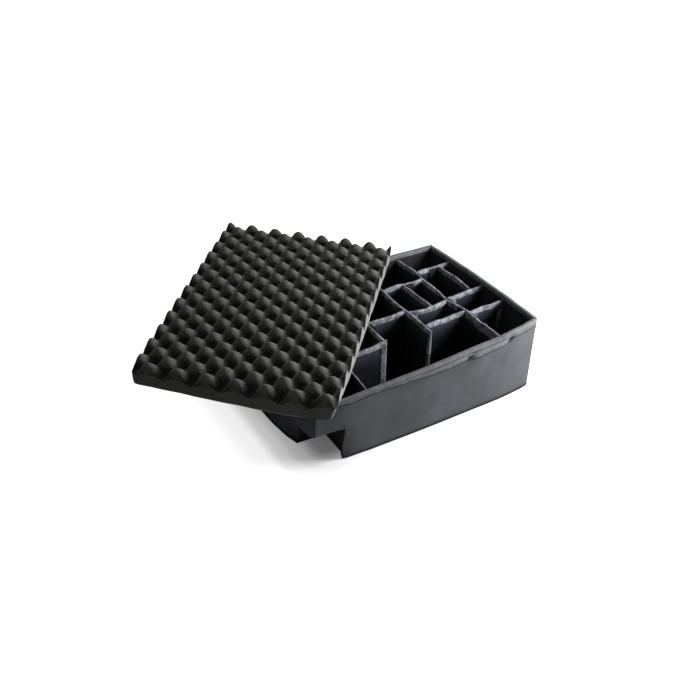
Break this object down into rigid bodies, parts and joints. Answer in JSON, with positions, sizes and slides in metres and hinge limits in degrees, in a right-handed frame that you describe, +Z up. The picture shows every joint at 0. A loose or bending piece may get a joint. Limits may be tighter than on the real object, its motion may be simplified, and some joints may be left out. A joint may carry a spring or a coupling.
{
  "type": "padded case divider set",
  "caption": "Padded divider tray for a wheeled hard case, with hook-and-loop dividers, two wheel wells and an egg-crate lid pad laid askew on its rim.",
  "frame": {"origin": "middle of the tray's underside, where it stands in its case", "axes": "+X along the front wall to the right, away from the wheel wells; +Y from the front wall to the back wall; +Z up"},
  "size_m": [0.7427, 0.6152, 0.213],
  "materials": {
    "outer_nylon": "satin",
    "hem_nylon": "satin",
    "wall_foam": "matte",
    "loop_lining": "matte",
    "divider_loop": "matte",
    "divider_trim": "satin",
    "seam": "matte",
    "pad_foam": "matte"
  },
  "bodies": {
    "tray": {"back_left_corner_seam": "seam", "back_right_corner_seam": "seam", "back_rim_hem": "hem_nylon", "back_wall_cover": "outer_nylon", "back_wall_foam": "wall_foam", "back_wall_lining": "loop_lining", "back_well_inner_panel": "loop_lining", "back_well_right_panel": "loop_lining", "back_well_roof": "loop_lining", "base_board": "wall_foam", "base_cover": "outer_nylon", "base_lining": "loop_lining", "foot_piping": "seam", "front_left_corner_seam": "seam", "front_right_corner_seam": "seam", "front_rim_hem": "hem_nylon", "front_wall_cover": "outer_nylon", "front_wall_foam": "wall_foam", "front_wall_lining": "loop_lining", "front_well_inner_panel": "loop_lining", "front_well_right_panel": "loop_lining", "front_well_roof": "loop_lining", "left_rim_hem": "hem_nylon", "left_wall_cover": "outer_nylon", "left_wall_foam": "wall_foam", "left_wall_lining": "loop_lining", "right_rim_hem": "hem_nylon", "right_wall_cover": "outer_nylon", "right_wall_foam": "wall_foam", "right_wall_lining": "loop_lining"},
    "lid_pad": {"lid_pad": "pad_foam"},
    "long_divider_1": {"long_divider_1_panel": "divider_loop", "long_divider_1_trim": "divider_trim"},
    "long_divider_2": {"long_divider_2_panel": "divider_loop", "long_divider_2_trim": "divider_trim"},
    "long_divider_3": {"long_divider_3_panel": "divider_loop", "long_divider_3_trim": "divider_trim"},
    "long_divider_4": {"long_divider_4_panel": "divider_loop", "long_divider_4_trim": "divider_trim"},
    "bay2_cross": {"bay2_cross_panel": "divider_loop", "bay2_cross_trim": "divider_trim"},
    "bay3_cross": {"bay3_cross_panel": "divider_loop", "bay3_cross_trim": "divider_trim"},
    "bay4_cross_front": {"bay4_cross_front_panel": "divider_loop", "bay4_cross_front_trim": "divider_trim"},
    "bay4_cross_middle": {"bay4_cross_middle_panel": "divider_loop", "bay4_cross_middle_trim": "divider_trim"},
    "bay4_cross_back": {"bay4_cross_back_panel": "divider_loop", "bay4_cross_back_trim": "divider_trim"},
    "bay4_short": {"bay4_short_panel": "divider_loop", "bay4_short_trim": "divider_trim"},
    "bay5_cross_front": {"bay5_cross_front_panel": "divider_loop", "bay5_cross_front_trim": "divider_trim"},
    "bay5_cross_middle": {"bay5_cross_middle_panel": "divider_loop", "bay5_cross_middle_trim": "divider_trim"},
    "bay5_cross_back": {"bay5_cross_back_panel": "divider_loop", "bay5_cross_back_trim": "divider_trim"},
    "bay5_short": {"bay5_short_panel": "divider_loop", "bay5_short_trim": "divider_trim"}
  },
  "joints": [
    {"name": "lid_pad_lift", "type": "slide", "parent": "tray", "child": "lid_pad", "axis": [0, 0, 1], "range_m": [0, 0.26]},
    {"name": "long_divider_1_shift", "type": "slide", "parent": "tray", "child": "long_divider_1", "axis": [-1, 0, 0], "range_m": [0, 0.012]},
    {"name": "long_divider_2_shift", "type": "slide", "parent": "tray", "child": "long_divider_2", "axis": [-1, 0, 0], "range_m": [0, 0.025]},
    {"name": "long_divider_3_shift", "type": "slide", "parent": "tray", "child": "long_divider_3", "axis": [0, -1, 0], "range_m": [0, 0.05]},
    {"name": "long_divider_4_lift", "type": "slide", "parent": "tray", "child": "long_divider_4", "axis": [0, 0, 1], "range_m": [0, 0.165]},
    {"name": "bay2_cross_shift", "type": "slide", "parent": "tray", "child": "bay2_cross", "axis": [0, -1, 0], "range_m": [0, 0.065]},
    {"name": "bay3_cross_shift", "type": "slide", "parent": "tray", "child": "bay3_cross", "axis": [0, 1, 0], "range_m": [-0.045, 0.095]},
    {"name": "bay4_cross_front_lift", "type": "slide", "parent": "tray", "child": "bay4_cross_front", "axis": [0, 0, 1], "range_m": [0, 0.165]},
    {"name": "bay4_cross_middle_lift", "type": "slide", "parent": "tray", "child": "bay4_cross_middle", "axis": [0, 0, 1], "range_m": [0, 0.165]},
    {"name": "bay4_cross_back_lift", "type": "slide", "parent": "tray", "child": "bay4_cross_back", "axis": [0, 0, 1], "range_m": [0, 0.165]},
    {"name": "bay4_short_lift", "type": "slide", "parent": "tray", "child": "bay4_short", "axis": [0, 0, 1], "range_m": [0, 0.165]},
    {"name": "bay5_cross_front_lift", "type": "slide", "parent": "tray", "child": "bay5_cross_front", "axis": [0, 0, 1], "range_m": [0, 0.165]},
    {"name": "bay5_cross_middle_lift", "type": "slide", "parent": "tray", "child": "bay5_cross_middle", "axis": [0, 0, 1], "range_m": [0, 0.165]},
    {"name": "bay5_cross_back_lift", "type": "slide", "parent": "tray", "child": "bay5_cross_back", "axis": [0, 0, 1], "range_m": [0, 0.165]},
    {"name": "bay5_short_lift", "type": "slide", "parent": "tray", "child": "bay5_short", "axis": [0, 0, 1], "range_m": [0, 0.165]}
  ]
}
